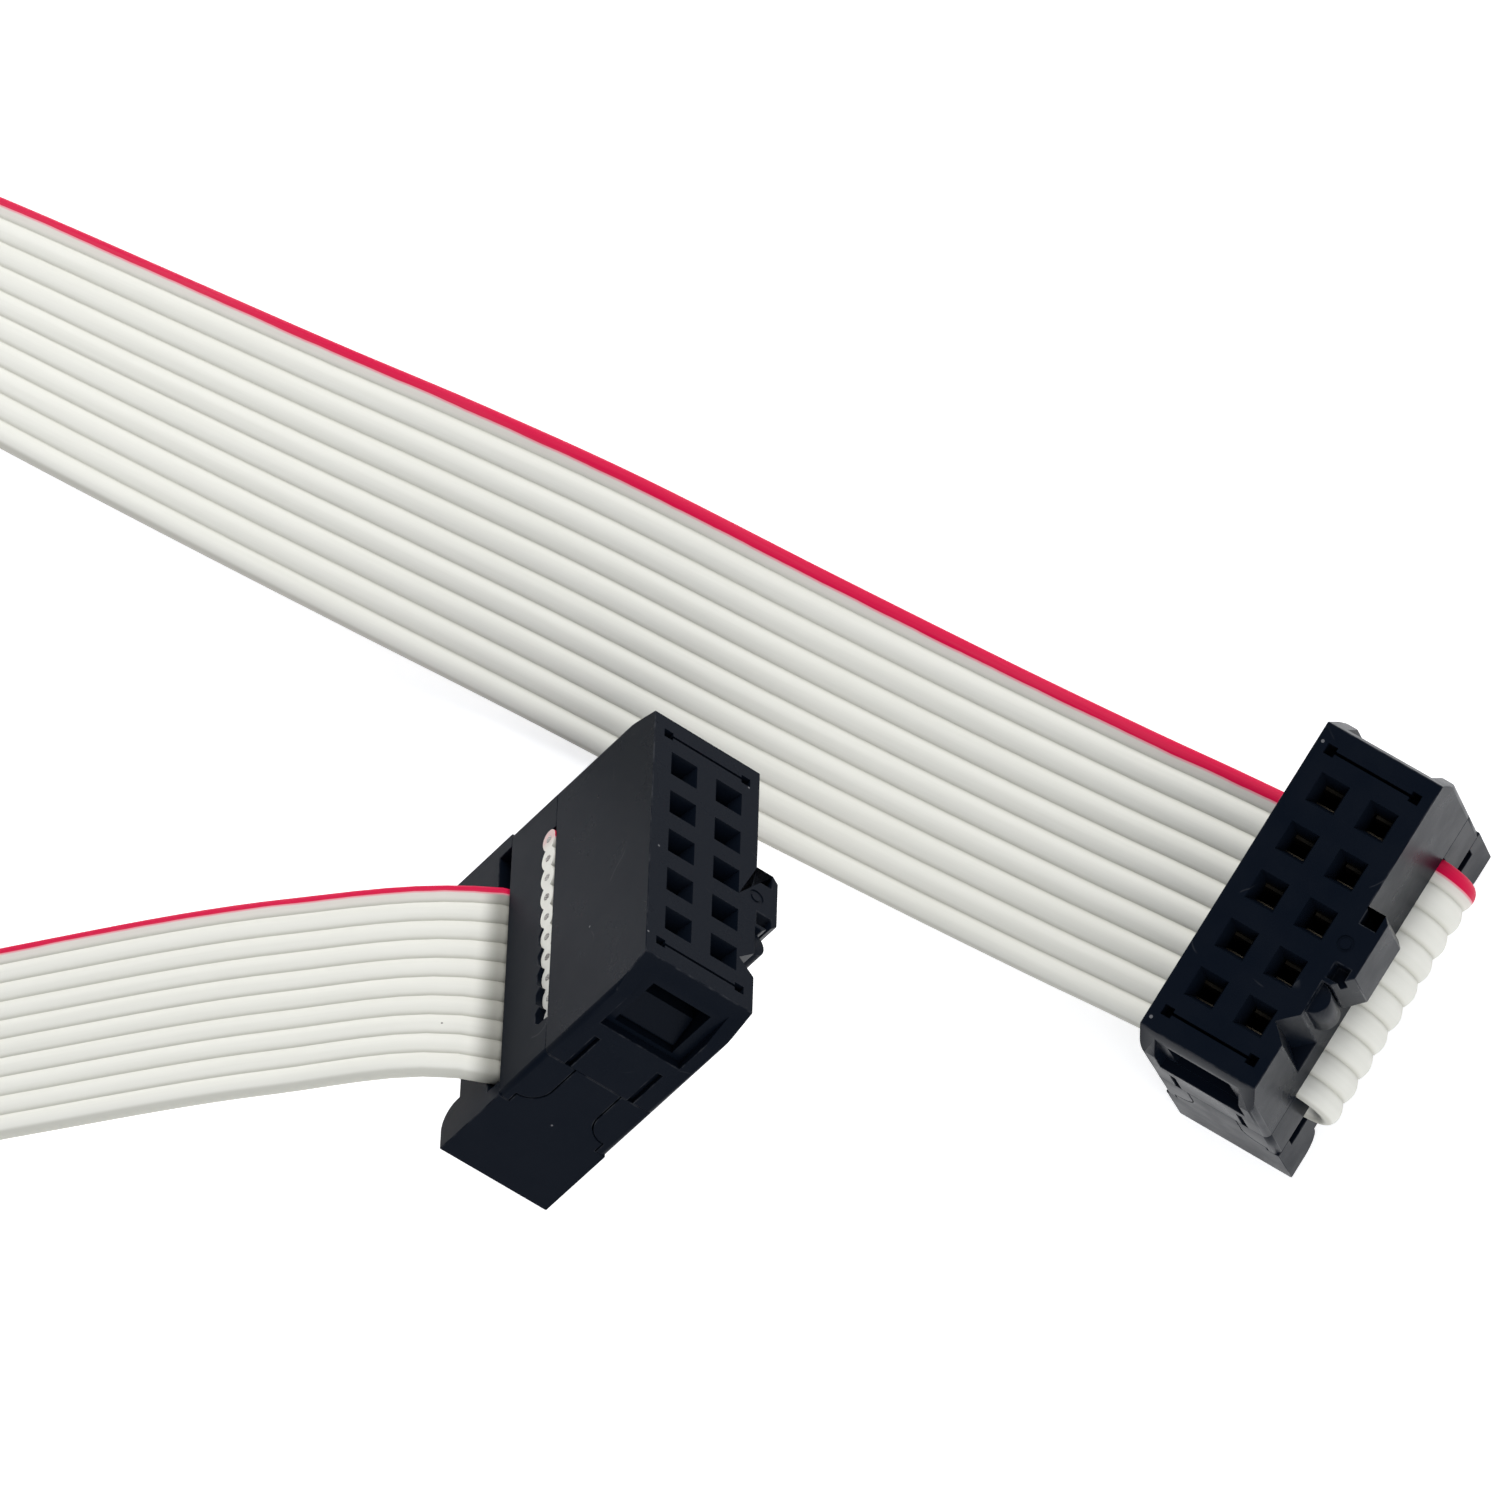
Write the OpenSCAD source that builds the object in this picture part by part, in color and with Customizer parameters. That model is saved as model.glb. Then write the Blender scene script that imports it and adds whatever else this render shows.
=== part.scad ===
// Flat ribbon cable of ten wires with a two-row, ten-way socket pressed on each end.
// The right socket stands on the feet of its strain relief with its mating face up. The origin is
// in the middle between those feet, on the surface. +X is the side with the key and the cable's
// fold, +Y is the end with the striped wire, and +Z is up. All sizes are in millimetres.

/* [Flat cable] */
// Distance from one wire to the next
wire_pitch = 1.27; // [1.2:0.01:1.3]
// Thickness of the cable over each wire
cable_t = 0.9; // [0.8:0.02:0.94]
// Thickness of the webs between the wires, and of the cable's edges
web_t = 0.36; // [0.3:0.02:0.5]
// Distance from each outer wire to the cable's edge
edge_w = 0.56; // [0.5:0.02:0.64]
// Width of the flat crest over each wire
crest_w = 0.56; // [0.46:0.02:0.7]
// Diameter of each wire's bundle of copper strands
core_d = 0.38; // [0.32:0.02:0.44]
// How far the cable's fold stands out of each socket, at the middle of its thickness
fold_out = 1.2; // [1:0.05:1.6]
// Radius of the cable's bend where it leaves the left socket
exit_bend_r = 1.2; // [1.1:0.1:1.6]

/* [Socket body] */
// Length of each socket, along its two rows
socket_l = 17.2; // [17:0.1:17.8]
// Width of each socket, across its two rows
socket_w = 6; // [6:0.1:6.6]
// Distance between the two rows
row_gap = 2.54; // [2.5:0.02:2.6]
// Height of the housing that holds the contacts
housing_h = 7.15; // [7:0.05:7.6]
// Height of the cover that presses the cable on the contacts
cover_h = 3.35; // [3.3:0.05:3.8]
// Height of the strain relief, feet included
relief_h = 4.3; // [4.2:0.1:5]
// How much shorter each end is at the mating face, for the lead-in
lead_in = 0.7; // [0.4:0.05:0.8]
// Height of that lead-in
lead_in_h = 2.3; // [1.5:0.1:3]
// Radius of the upright corners
corner_r = 0.3; // [0.1:0.05:0.4]
// Clearance between the moulded pieces
fit = 0.05; // [0.03:0.01:0.08]

/* [Contact openings] */
// Width of each funnel at the mating face
mouth_w = 1.5; // [1.3:0.05:1.6]
// Width of the throat under each funnel
throat_w = 1; // [0.8:0.05:1.1]
// Depth of each funnel
funnel_depth = 0.7; // [0.4:0.05:0.9]
// Thickness of the roof over each contact chamber
roof_t = 1.2; // [1.1:0.05:1.5]
// Width of each contact chamber
chamber_w = 1.3; // [1.2:0.02:1.36]

/* [Key and marks] */
// Length of the key
key_l = 3.9; // [3.4:0.1:4.4]
// How far the key stands out
key_out = 1.2; // [0.9:0.05:1.3]
// Height of the key
key_h = 4.3; // [3.6:0.1:4.8]
// How far the key lies off the middle, towards the last wire
key_offset = 0.3; // [0:0.05:0.5]
// Width of the square well at each end of the key
key_well_w = 0.8; // [0.5:0.05:0.85]
// Depth of those wells
key_well_depth = 1.1; // [0.5:0.1:1.6]
// Diameter of the half-round rib beside the key
rib_d = 1.5; // [1:0.1:1.6]
// Height of that rib
rib_h = 3.2; // [2.4:0.1:3.6]
// Width of the V groove that marks the last pair
groove_w = 1.6; // [1.2:0.1:1.7]
// Depth of the V groove
groove_depth = 0.85; // [0.5:0.05:0.9]
// Height of the V groove
groove_h = 5.2; // [4:0.1:5.4]

/* [End faces] */
// Width of the recess between the two posts at each end
end_recess_w = 4.4; // [4:0.1:4.6]
// Depth of that recess
end_recess_depth = 0.5; // [0.3:0.05:0.6]
// Height of that recess
end_recess_h = 4.2; // [4:0.1:4.6]
// Height of the rim above the latch window
window_rim = 1.2; // [1:0.05:1.5]
// Height of the latch window
window_h = 2.8; // [2.4:0.1:2.9]
// Width of the latch arms
arm_w = 3.1; // [2.8:0.1:3.2]
// Thickness of the latch arms
arm_t = 0.8; // [0.7:0.05:0.85]
// Height of the latch arms above the cover
arm_h = 4.7; // [4.4:0.1:4.9]
// How far each latch hook reaches into its window
hook_out = 0.55; // [0.3:0.05:0.6]

/* [Strain relief] */
// Length of each foot
foot_l = 2.3; // [1.8:0.1:2.6]
// Height of the feet under the bar
foot_h = 1.3; // [1:0.1:1.5]
// Thickness of the tongues that clasp the cover
tongue_t = 0.85; // [0.7:0.05:0.9]
// Width of each tongue at its root
tongue_root_w = 4.8; // [4.4:0.1:5]
// Width of each tongue at its tip
tongue_tip_w = 2.5; // [2.2:0.1:2.8]

/* [Contacts] */
// Thickness of the contact sheet
blade_t = 0.2; // [0.15:0.01:0.25]
// Width across the two tines of the fork
fork_w = 1.1; // [1:0.02:1.16]
// How far the tines reach past the cable
tine_over = 0.55; // [0.4:0.05:0.7]
// Height of the fork's shoulder in the housing
shoulder_h = 1; // [0.8:0.05:1.2]
// Height of the spring leaves
leaf_h = 4.2; // [3.8:0.1:4.4]
// Thickness of the spring leaves
leaf_t = 0.15; // [0.12:0.01:0.18]
// Gap between the spring leaves at their throat
leaf_gap = 0.5; // [0.4:0.02:0.6]

/* [Hidden] */
$fn = 48;
wires = 10;
SOCKETS = ["right", "left"];

columns = wires / 2;
column_pitch = 2 * wire_pitch;
cable_w = (wires - 1) * wire_pitch + 2 * edge_w;

// Heights of a socket, from the surface that its feet stand on
cover_z = relief_h;
housing_z = cover_z + cover_h;
socket_h = housing_z + housing_h;
upper_pass_z = housing_z - cable_t / 2;
lower_pass_z = cover_z - cable_t / 2;
fold_r = (upper_pass_z - lower_pass_z) / 2;
fold_z = (upper_pass_z + lower_pass_z) / 2;
fold_x = socket_w / 2;

// Flat steps of the cable round its fold and round its bend
fold_steps = 4;
bend_steps = 3;
// Overlap that lets one cut run out of a face
through = 0.2;
// How far the cut wire ends lie inside the socket's side
cut_inset = 0.05;
// Straight stretch of cable outside each socket
exit_l = 0.15;

// Place of the blade's plane in a row, measured from the socket's middle
blade_x = row_gap / 2 + (chamber_w - blade_t) / 2;
// Inner face of the latch arms
arm_y = cable_w / 2 + 3 * fit;
// Place of the slits over the latch arms
slit_y = arm_y + arm_t / 2;
slit_w = 0.15;
slit_l = end_recess_w;
slit_end_w = 0.5;
slit_depth = 0.9;

// Pose of the left socket, which leans on one corner of its strain relief
left_x = -29.7;
left_y = -22.4;
left_roll = -45;
left_pitch = 40;
left_yaw = 5;
left_lift = sin(left_pitch) * socket_w / 2 - cos(left_pitch) * sin(left_roll) * socket_l / 2;
// Angle through which the cable bends as it leaves the left socket
exit_bend = 50;
// How far the cable lies off the sockets' middle where it leaves them
right_drift = -0.3;
left_drift = -0.9;

// The cable's route between the sockets: place of its middle, and its roll, which is 0 when it
// lies flat and 90 when it stands on its striped edge
ROUTE = [
    [-7, -0.45, 3.5, 0],
    [-12, -0.7, 2.5, 0],
    [-20, -1, 0.9, 0],
    [-30, -1.5, 0.5, 0],
    [-40, -2, 0.7, 2],
    [-48, -2.7, 1.4, 8],
    [-55, -3.4, 2.1, 14.5],
    [-63, -4.1, 2.7, 20],
    [-75, -5.1, 3.5, 28],
    [-89, -6.7, 4.4, 37],
    [-103, -10.3, 5, 47],
    [-115, -17.5, 5.7, 58],
    [-123.5, -28, 6.1, 69],
    [-126, -41, 6.3, 79],
    [-122.5, -53.5, 6.4, 88],
    [-113.5, -63, 6.4, 97],
    [-101, -67, 6.4, 106],
    [-88.5, -64.5, 6.5, 115],
    [-77, -57, 6.7, 125],
    [-67.5, -49.4, 7.2, 135],
    [-57, -41, 8.5, 145],
    [-47.7, -33.3, 10.1, 147],
    [-38.3, -25.9, 11.2, 147],
];

// Corners round each wire's core, as angles
CORE = [30, 90, 150, 210, 270, 330];
// Corners of the cable's upper side from the striped edge on: place across, and height
CREST = concat(
    [
        for (i = [0:wires - 1]) each [
            [i == 0 ? cable_w / 2 : wire_y(i) + wire_pitch / 2, web_t / 2],
            [wire_y(i) + crest_w / 2, cable_t / 2],
            [wire_y(i) - crest_w / 2, cable_t / 2],
        ]
    ],
    [[-cable_w / 2, web_t / 2]]
);

// Height of the middle of wire i over the cable's middle, seen along its width
function wire_y(i) = ((wires - 1) / 2 - i) * wire_pitch;
// Which side of the socket contact i is on, the key's side being 1
function row_side(i) = i % 2 == 0 ? 1 : -1;
// Middle of the contact chamber of wire i, along the rows
function column_y(i) = ((columns - 1) / 2 - floor(i / 2)) * column_pitch;

// A vector turned about X, Y and Z in that order
function turn_x(v, a) = [v.x, v.y * cos(a) - v.z * sin(a), v.y * sin(a) + v.z * cos(a)];
function turn_y(v, a) = [v.x * cos(a) + v.z * sin(a), v.y, v.z * cos(a) - v.x * sin(a)];
function turn_z(v, a) = [v.x * cos(a) - v.y * sin(a), v.x * sin(a) + v.y * cos(a), v.z];
function left_turn(v) = turn_z(turn_y(turn_x(v, left_roll), left_pitch), left_yaw);
function left_point(v) = left_turn(v) + [left_x, left_y, left_lift];

// A ring of the run is its middle, its heading and the direction to its striped edge
function unit(v) = v / norm(v);
function rolled(heading, roll) =
    let (right = unit(cross(heading, [0, 0, 1])))
    cos(roll) * right + sin(roll) * cross(heading, right);
function route_ring(i, points) =
    let (
        heading = unit(points[i + 1] - points[i - 1]),
        roll = ROUTE[i - 1][3]
    )
    [points[i], heading, rolled(heading, roll)];

// Rings inside a socket, from the cut end round the fold to the exit. Past the fold the cable
// drifts along the rows, by shift in all.
function socket_rings(shift) = concat(
    [[[-socket_w / 2 + cut_inset, 0, upper_pass_z], [1, 0, 0]]],
    [
        for (n = [0:fold_steps])
            let (a = n * 180 / fold_steps)
            [
                [
                    fold_x + fold_out * sin(a),
                    shift / 2 * n / fold_steps,
                    fold_z + fold_r * cos(a),
                ],
                unit([fold_out * cos(a), 0, -fold_r * sin(a)]),
            ]
    ],
    [[[-socket_w / 2 - exit_l, shift, lower_pass_z], [-1, 0, 0]]]
);
right_rings = socket_rings(right_drift);
right_last = len(right_rings) - 1;
// Rings of the left socket, and of the bend outside it
left_socket_rings = socket_rings(left_drift);
left_exit = left_socket_rings[len(left_socket_rings) - 1][0];
left_rings = concat(
    left_socket_rings,
    [
        for (n = [1:bend_steps])
            let (a = n * exit_bend / bend_steps)
            [
                left_exit - exit_bend_r * [sin(a), 0, 1 - cos(a)],
                [-cos(a), 0, -sin(a)],
            ]
    ]
);
left_last = len(left_rings) - 1;

run_points = concat(
    [right_rings[right_last][0]],
    [for (p = ROUTE) [p.x, p.y, p.z]],
    [left_point(left_rings[left_last][0])]
);
run_rings = concat(
    [for (ring = right_rings) concat(ring, [[0, 1, 0]])],
    [for (i = [1:len(ROUTE)]) route_ring(i, run_points)],
    [
        for (i = [left_last:-1:0]) [
            left_point(left_rings[i][0]),
            -left_turn(left_rings[i][1]),
            left_turn([0, 1, 0]),
        ]
    ]
);

// A point of a ring, given by its place across the cable and its height over the middle
function ring_point(ring, across, height) =
    ring[0] + across * ring[2] + height * cross(ring[1], ring[2]);
// Corners of wire i's core on a ring
function core_points(ring, i) = [
    for (a = CORE)
        ring_point(ring, wire_y(i) + core_d / 2 * cos(a), core_d / 2 * sin(a))
];

// Outline of the cable across its wires
module cable_outline() {
    polygon(concat(
        CREST,
        [for (n = [len(CREST) - 1:-1:0]) [CREST[n].x, -CREST[n].y]]
    ));
}

// Section turned to run along X
module along_x(from_x, to_x) {
    translate([from_x, 0, 0]) rotate([90, 0, 90]) linear_extrude(to_x - from_x) children();
}

// Slots that the ten forks cut in the insulation
module fork_cuts() {
    for (i = [0:wires - 1])
        translate([row_side(i) * blade_x, wire_y(i), upper_pass_z])
            cube([blade_t, fork_w, cable_t + through], center=true);
}

// Faces of four corners cut in triangles, so that a bore and its wire meet without a gap
function triangles(faces) = [
    for (face = faces) each [[face[0], face[1], face[2]], [face[0], face[2], face[3]]]
];

// Insulation from one cut end to the other: one closed mesh with a bore for each wire
module jacket_run() {
    crest_n = len(CREST);
    core_n = len(CORE);
    ring_n = 2 * crest_n + wires * core_n;
    last = len(run_rings) - 1;
    points = [
        for (ring = run_rings) each concat(
            [for (c = CREST) ring_point(ring, c.x, c.y)],
            [for (c = CREST) ring_point(ring, c.x, -c.y)],
            [for (i = [0:wires - 1]) each core_points(ring, i)]
        )
    ];
    function top(k, n) = k * ring_n + n;
    function under(k, n) = k * ring_n + crest_n + n;
    function bore(k, i, j) = k * ring_n + 2 * crest_n + i * core_n + j % core_n;
    function strip(k, a, b) = [a, a + ring_n, b + ring_n, b];
    outside = [
        for (k = [0:last - 1], n = [0:crest_n - 2]) each [
            strip(k, top(k, n), top(k, n + 1)),
            strip(k, under(k, n + 1), under(k, n)),
        ]
    ];
    edges = [
        for (k = [0:last - 1]) each [
            strip(k, under(k, 0), top(k, 0)),
            strip(k, top(k, crest_n - 1), under(k, crest_n - 1)),
        ]
    ];
    bores = [
        for (k = [0:last - 1], i = [0:wires - 1], j = [0:core_n - 1])
            [bore(k, i, j), bore(k, i, j + 1), bore(k + 1, i, j + 1), bore(k + 1, i, j)]
    ];
    // Triangles of one cut end between a bore and the outline round it
    function cut_end(k) = [
        for (i = [0:wires - 1])
            let (n = 3 * i)
            each [
                [top(k, n), top(k, n + 1), bore(k, i, 0)],
                [top(k, n + 1), bore(k, i, 1), bore(k, i, 0)],
                [top(k, n + 1), top(k, n + 2), bore(k, i, 1)],
                [top(k, n + 2), bore(k, i, 2), bore(k, i, 1)],
                [top(k, n + 2), top(k, n + 3), bore(k, i, 2)],
                [top(k, n + 3), under(k, n + 3), bore(k, i, 2)],
                [under(k, n + 3), bore(k, i, 3), bore(k, i, 2)],
                [under(k, n + 3), under(k, n + 2), bore(k, i, 3)],
                [under(k, n + 2), bore(k, i, 4), bore(k, i, 3)],
                [under(k, n + 2), under(k, n + 1), bore(k, i, 4)],
                [under(k, n + 1), bore(k, i, 5), bore(k, i, 4)],
                [under(k, n + 1), under(k, n), bore(k, i, 5)],
                [under(k, n), top(k, n), bore(k, i, 0)],
                [under(k, n), bore(k, i, 0), bore(k, i, 5)],
            ]
    ];
    far_end = [for (face = cut_end(last)) [face[2], face[1], face[0]]];
    polyhedron(
        points,
        concat(triangles(concat(outside, edges, bores)), cut_end(0), far_end)
    );
}

module place_left() {
    translate([left_x, left_y, left_lift])
        rotate([left_roll, left_pitch, left_yaw]) children();
}

module cable_jacket() {
    color([0.88, 0.88, 0.86])
        difference() {
            jacket_run();
            fork_cuts();
            place_left() fork_cuts();
        }
}

// Strands of wire i, from one cut end to the other
module wire_core(i) {
    n = len(CORE);
    last = len(run_rings) - 1;
    points = [for (ring = run_rings) each core_points(ring, i)];
    sides = [
        for (k = [0:last - 1], j = [0:n - 1])
            [k * n + j, (k + 1) * n + j, (k + 1) * n + (j + 1) % n, k * n + (j + 1) % n]
    ];
    near_end = [for (j = [0:n - 1]) j];
    far_end = [for (j = [n - 1:-1:0]) last * n + j];
    color([0.78, 0.5, 0.34])
        polyhedron(points, concat(triangles(sides), [near_end, far_end]));
}

// A socket's plan with rounded upright corners
module socket_plan() {
    x = socket_w / 2 - corner_r;
    y = socket_l / 2 - corner_r;
    square([socket_w, 2 * y], center=true);
    square([2 * x, socket_l], center=true);
    for (side_x = [-x, x], side_y = [-y, y]) translate([side_x, side_y]) circle(corner_r);
}

// Plan of the key: its end towards the last wire slopes away
module key_plan() {
    bevel = 0.3;
    slope = 0.8;
    polygon([
        [-through, key_l / 2],
        [key_out - bevel, key_l / 2],
        [key_out, key_l / 2 - bevel],
        [key_out, slope - key_l / 2],
        [key_out / 3, -key_l / 2],
        [-through, -key_l / 2],
    ]);
}

module key() {
    translate([socket_w / 2, -key_offset, socket_h - key_h])
        difference() {
            linear_extrude(key_h) key_plan();
            for (y = [
                key_l / 2 - key_well_w - fit,
                -key_l / 2 + 5 * fit,
            ])
                translate([fit, y, key_h - key_well_depth])
                    cube([key_well_w, key_well_w, key_well_depth + through]);
        }
    rib_x = socket_w / 2;
    rib_y = -key_offset - key_l / 2 - rib_d / 2;
    translate([rib_x, rib_y, socket_h - rib_h - 2 * slit_w])
        cylinder(h=rib_h, d=rib_d);
}

// V groove in the key's side, beside the last pair of wires
module marker_groove() {
    y = -(columns - 1) / 2 * column_pitch + fork_w / 4;
    translate([socket_w / 2, y, socket_h - groove_h])
        linear_extrude(groove_h + through)
            polygon([
                [through, groove_w / 2 + through],
                [through, -groove_w / 2 - through],
                [0, -groove_w / 2],
                [-groove_depth, 0],
                [0, groove_w / 2],
            ]);
}

// Chamber, throat and funnel of contact i, with the slot for its fork
module contact_chamber(i) {
    x = row_side(i) * row_gap / 2;
    translate([x, column_y(i), 0]) {
        translate([-chamber_w / 2, -chamber_w / 2, housing_z - through])
            cube([chamber_w, chamber_w, housing_h - roof_t + through]);
        translate([-throat_w / 2, -throat_w / 2, socket_h - roof_t - through])
            cube([throat_w, throat_w, roof_t + 2 * through]);
        translate([0, 0, socket_h - funnel_depth])
            linear_extrude(funnel_depth + fit, scale=mouth_w / throat_w)
                square(throat_w, center=true);
    }
    slot_w = blade_t + 2 * fit;
    slot_l = fork_w + 2 * fit;
    translate([
        row_side(i) * blade_x - slot_w / 2,
        wire_y(i) - slot_l / 2,
        housing_z - through,
    ])
        cube([slot_w, slot_l, shoulder_h + fit + through]);
}

// Everything cut out of the end of the housing that faces +Y
module end_cuts() {
    end_y = socket_l / 2;
    // Recess between the posts
    translate([-end_recess_w / 2, end_y - end_recess_depth, socket_h - end_recess_h])
        cube([end_recess_w, end_recess_depth + through, end_recess_h + through]);
    // Cavity of the latch arm
    translate([-arm_w / 2 - fit, arm_y - fit, housing_z - through])
        cube([arm_w + 2 * fit, arm_t + 2 * fit, housing_h - window_rim + through]);
    // Window in front of the hook
    translate([-arm_w / 2 - fit, arm_y, socket_h - window_rim - window_h])
        cube([arm_w + 2 * fit, end_y - arm_y + through, window_h]);
    // Grooves beside the flat below the window
    for (x = [-1, 1]) {
        groove_x = x * (arm_w / 2 + 4 * fit);
        translate([groove_x - slit_w, end_y - 2 * slit_w, housing_z - through])
            cube([2 * slit_w, 2 * slit_w + through, arm_h / 2]);
    }
    // Slit over the arm, and a square at each end of it
    translate([-slit_l / 2, slit_y - slit_w / 2, socket_h - slit_depth])
        cube([slit_l, slit_w, slit_depth + through]);
    for (x = [-1, 1])
        translate([
            x * slit_l / 2 - slit_end_w / 2,
            slit_y - slit_end_w / 2,
            socket_h - slit_depth,
        ])
            cube([slit_end_w, slit_end_w, slit_depth + through]);
}

// Slopes at both ends of the mating face
module lead_ins() {
    for (side = [0, 1]) mirror([0, side, 0])
        along_x(-socket_w, socket_w)
            polygon([
                [socket_l / 2 - lead_in, socket_h + through],
                [socket_l / 2 - lead_in, socket_h],
                [socket_l / 2, socket_h - lead_in_h],
                [socket_l / 2 + through, socket_h - lead_in_h],
                [socket_l / 2 + through, socket_h + through],
            ]);
}

// Ring left by the mould
module mould_ring(d) {
    depth = fit;
    difference() {
        cylinder(h=2 * depth, d=d, center=true);
        cylinder(h=3 * depth, d=d - slit_w * 2, center=true);
    }
}

module housing() {
    color([0.16, 0.17, 0.2])
        difference() {
            union() {
                difference() {
                    translate([0, 0, housing_z]) linear_extrude(housing_h) socket_plan();
                    lead_ins();
                }
                key();
            }
            for (i = [0:wires - 1]) contact_chamber(i);
            end_cuts();
            mirror([0, 1, 0]) end_cuts();
            marker_groove();
            translate([socket_w / 2, -key_offset, socket_h])
                mould_ring(key_well_w);
        }
}

// Face of a tongue: wide at its root, with a hollow shoulder up to its narrow tip
module tongue_face(grow) {
    rise = housing_z - cover_z;
    shoulder_r = (tongue_root_w - tongue_tip_w) / 2;
    tip_w = tongue_tip_w + 2 * grow;
    root_w = tongue_root_w + 2 * grow;
    difference() {
        union() {
            translate([-tip_w / 2, -through]) square([tip_w, rise + through]);
            translate([-root_w / 2, -through]) square([root_w, rise / 2 + through]);
        }
        for (x = [-1, 1])
            translate([x * (tongue_root_w / 2), rise / 2])
                circle(shoulder_r - grow);
    }
}

// A tongue standing in the end that faces +Y
module tongue(grow, depth) {
    translate([0, socket_l / 2 + (depth - tongue_t), cover_z])
        rotate([90, 0, 0]) linear_extrude(depth) tongue_face(grow);
}

module latch_arm() {
    translate([-arm_w / 2, arm_y, housing_z - through])
        cube([arm_w, arm_t, arm_h + through]);
    // Hook with a sloping top
    hook_y = arm_y + arm_t;
    hook_h = window_h / 2;
    translate([-arm_w / 2, hook_y, housing_z + arm_h])
        rotate([0, 90, 0])
            linear_extrude(arm_w)
                polygon([
                    [0, -through],
                    [0, 0],
                    [hook_h - 2 * fit, hook_out],
                    [hook_h, hook_out],
                    [hook_h, -through],
                ]);
}

// Pocket under the cable for the tips of fork i
module tine_pocket(i) {
    pocket_w = blade_t + 2 * fit;
    pocket_l = fork_w + 2 * fit;
    bottom = housing_z - cable_t - tine_over - fit;
    translate([row_side(i) * blade_x - pocket_w / 2, wire_y(i) - pocket_l / 2, bottom])
        cube([pocket_w, pocket_l, housing_z - bottom + through]);
}

module cover() {
    color([0.17, 0.18, 0.2])
        difference() {
            union() {
                translate([0, 0, cover_z]) linear_extrude(cover_h) socket_plan();
                latch_arm();
                mirror([0, 1, 0]) latch_arm();
            }
            // Scallops that hold the ten wires
            translate([0, 0, upper_pass_z])
                along_x(-socket_w / 2 - through, socket_w / 2 + through)
                    scallop_outline();
            for (i = [0:wires - 1]) tine_pocket(i);
            tongue(fit, tongue_t + fit);
            mirror([0, 1, 0]) tongue(fit, tongue_t + fit);
        }
}

// Outline of the cable, open towards the housing
module scallop_outline() {
    cable_outline();
    translate([-cable_w / 2, 0]) square([cable_w, cable_t / 2 + through]);
}

// Side view of the strain relief's bar and feet
module relief_profile() {
    inner = socket_l / 2 - foot_l;
    round_r = foot_h - 3 * fit;
    difference() {
        translate([-socket_l / 2, 0]) square([socket_l, relief_h]);
        translate([-inner - round_r, -through])
            square([2 * (inner + round_r), foot_h + through]);
    }
    for (side = [-1, 1]) {
        translate([side * (inner + round_r), round_r]) circle(round_r);
        translate([side * (inner + round_r) - round_r, round_r])
            square([2 * round_r, foot_h - round_r + fit]);
    }
}

module strain_relief() {
    channel_l = socket_l - 2 * tongue_t - 2 * fit;
    color([0.18, 0.19, 0.21]) {
        difference() {
            along_x(-socket_w / 2, socket_w / 2) relief_profile();
            // Channel that the cable leaves through
            translate([-socket_w / 2 - through, -channel_l / 2, cover_z - cable_t])
                cube([socket_w + 2 * through, channel_l, cable_t + through]);
        }
        tongue(0, tongue_t);
        mirror([0, 1, 0]) tongue(0, tongue_t);
    }
}

// Flat pattern of a contact's fork and back, seen along X from the middle of its chamber
module blade_pattern(offset_y) {
    tip_z = housing_z - cable_t - tine_over;
    tine_w = (fork_w - core_d) / 2;
    point_h = tine_over / 2;
    slot_top = upper_pass_z + core_d / 2;
    difference() {
        union() {
            translate([offset_y - fork_w / 2, tip_z + point_h])
                square([fork_w, housing_z + shoulder_h - tip_z - point_h]);
            for (side = [-1, 1])
                translate([offset_y + side * (core_d + tine_w) / 2, tip_z])
                    polygon([
                        [-tine_w / 2, point_h + fit],
                        [-side * tine_w / 4, 0],
                        [tine_w / 2, point_h + fit],
                    ]);
            // Back of the contact, up to where the leaves start
            translate([-chamber_w / 2 + fit, housing_z + fit])
                square([chamber_w - 2 * fit, housing_h - roof_t - leaf_h]);
        }
        translate([offset_y - core_d / 2, tip_z - through])
            square([core_d, slot_top - core_d / 2 - tip_z + through]);
        translate([offset_y, slot_top - core_d / 2]) circle(d=core_d);
    }
}

// One spring leaf, seen along X: it leans in to the throat and flares at its tip
module leaf_pattern() {
    foot_z = housing_z + housing_h - roof_t - leaf_h - 3 * fit;
    outer = chamber_w / 2 - fit;
    throat = leaf_gap / 2;
    throat_z = foot_z + 0.78 * leaf_h;
    tip_z = foot_z + leaf_h;
    polygon([
        [outer - leaf_t, foot_z - 2 * through],
        [outer, foot_z - 2 * through],
        [outer, foot_z + leaf_h / 4],
        [throat + leaf_t, throat_z],
        [throat + 1.6 * leaf_t, tip_z],
        [throat + 0.6 * leaf_t, tip_z],
        [throat, throat_z],
        [outer - leaf_t, foot_z + leaf_h / 4],
    ]);
}

// Contact of wire i, in place in its socket
module contact(i) {
    side = row_side(i);
    leaf_w = chamber_w - 4 * fit;
    color([0.85, 0.68, 0.36])
        translate([side * row_gap / 2, column_y(i), 0]) {
            blade = side * (blade_x - row_gap / 2);
            translate([blade, 0, 0])
                along_x(-blade_t / 2, blade_t / 2)
                    blade_pattern(wire_y(i) - column_y(i));
            for (leaf = [-1, 1])
                translate([blade + side * blade_t / 2, 0, 0])
                    along_x(side > 0 ? -leaf_w : 0, side > 0 ? 0 : leaf_w)
                        scale([leaf, 1]) leaf_pattern();
        }
}

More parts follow.
